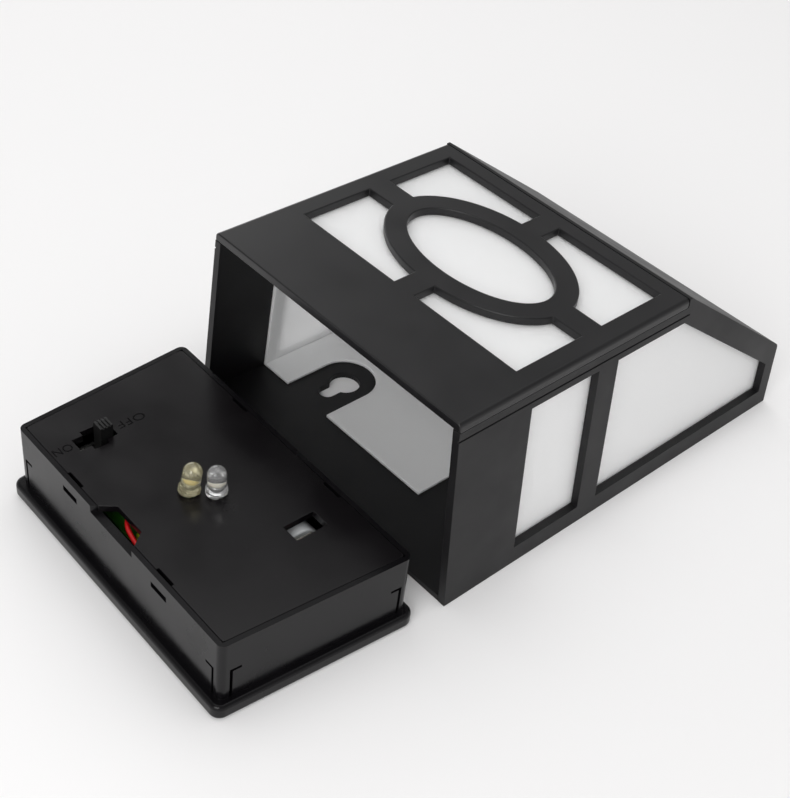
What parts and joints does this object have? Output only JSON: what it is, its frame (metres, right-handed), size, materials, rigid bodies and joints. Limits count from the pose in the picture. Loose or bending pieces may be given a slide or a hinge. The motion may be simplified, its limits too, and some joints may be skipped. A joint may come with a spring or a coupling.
{
  "type": "solar fence light",
  "caption": "Solar fence light with an oval-grille lantern housing, frosted liner, keyhole back and a lift-out solar module with slide switch.",
  "frame": {"origin": "on the back face, midway between the centres of the two keyholes", "axes": "+X across the width, +Y from the open mouth to the tapered end, +Z out of the back towards the front grille"},
  "size_m": [0.105, 0.2076, 0.0595],
  "materials": {
    "black_housing": "moulded black ABS, satin",
    "black_frame": "moulded black ABS, satin",
    "black_back": "moulded black ABS, satin",
    "frosted_liner": "frosted translucent polypropylene",
    "black_case": "moulded black ABS, satin",
    "black_cover": "moulded black ABS, satin",
    "foam": "closed-cell foam tape",
    "panel_laminate": "glass-epoxy laminate, white",
    "silicon": "dark blue silicon with silver fingers",
    "clear_resin": "clear cast epoxy",
    "green_board": "solder-masked glass-epoxy board",
    "zinc": "zinc-plated steel",
    "tinned_steel": "tin-plated steel",
    "black_knob": "moulded black nylon",
    "clear_epoxy": "water-clear cast epoxy, faintly yellow at the rim",
    "battery_sleeve": "plain silver shrink sleeve",
    "black_holder": "moulded black polypropylene",
    "nickel_contact": "nickel-plated spring steel",
    "chip_epoxy": "moulded black epoxy",
    "copper_winding": "enamelled copper wire on a drum",
    "resistor_lacquer": "tan lacquer",
    "red_insulation": "red vinyl insulation",
    "yellow_insulation": "yellow-green vinyl insulation",
    "black_insulation": "black vinyl insulation"
  },
  "bodies": {
    "housing": {"housing_shell": "black_housing", "front_frame": "black_frame", "back_plate": "black_back", "diffuser": "frosted_liner"},
    "solar_module": {"module_case": "black_case", "underside_cover": "black_cover", "panel_seal": "foam", "panel_board": "panel_laminate", "solar_cells": "silicon", "panel_resin": "clear_resin", "circuit_board": "green_board", "board_screws": "zinc", "switch_body": "tinned_steel", "led_near": "clear_epoxy", "led_far": "clear_epoxy", "led_leads": "tinned_steel", "battery": "battery_sleeve", "battery_holder": "black_holder", "plus_contact": "nickel_contact", "spring_contact": "nickel_contact", "driver_chip": "chip_epoxy", "inductor": "copper_winding", "resistor": "resistor_lacquer", "red_wire": "red_insulation", "yellow_wire": "yellow_insulation", "black_wire": "black_insulation"},
    "switch": {"switch_knob": "black_knob"}
  },
  "joints": [
    {"name": "module_lift", "type": "slide", "parent": "housing", "child": "solar_module", "axis": [0, 0, 1], "range_m": [0, 0.065]},
    {"name": "switch_slide", "type": "slide", "parent": "solar_module", "child": "switch", "axis": [-0.0201, -0.9998, 0], "range_m": [0, 0.004]}
  ]
}
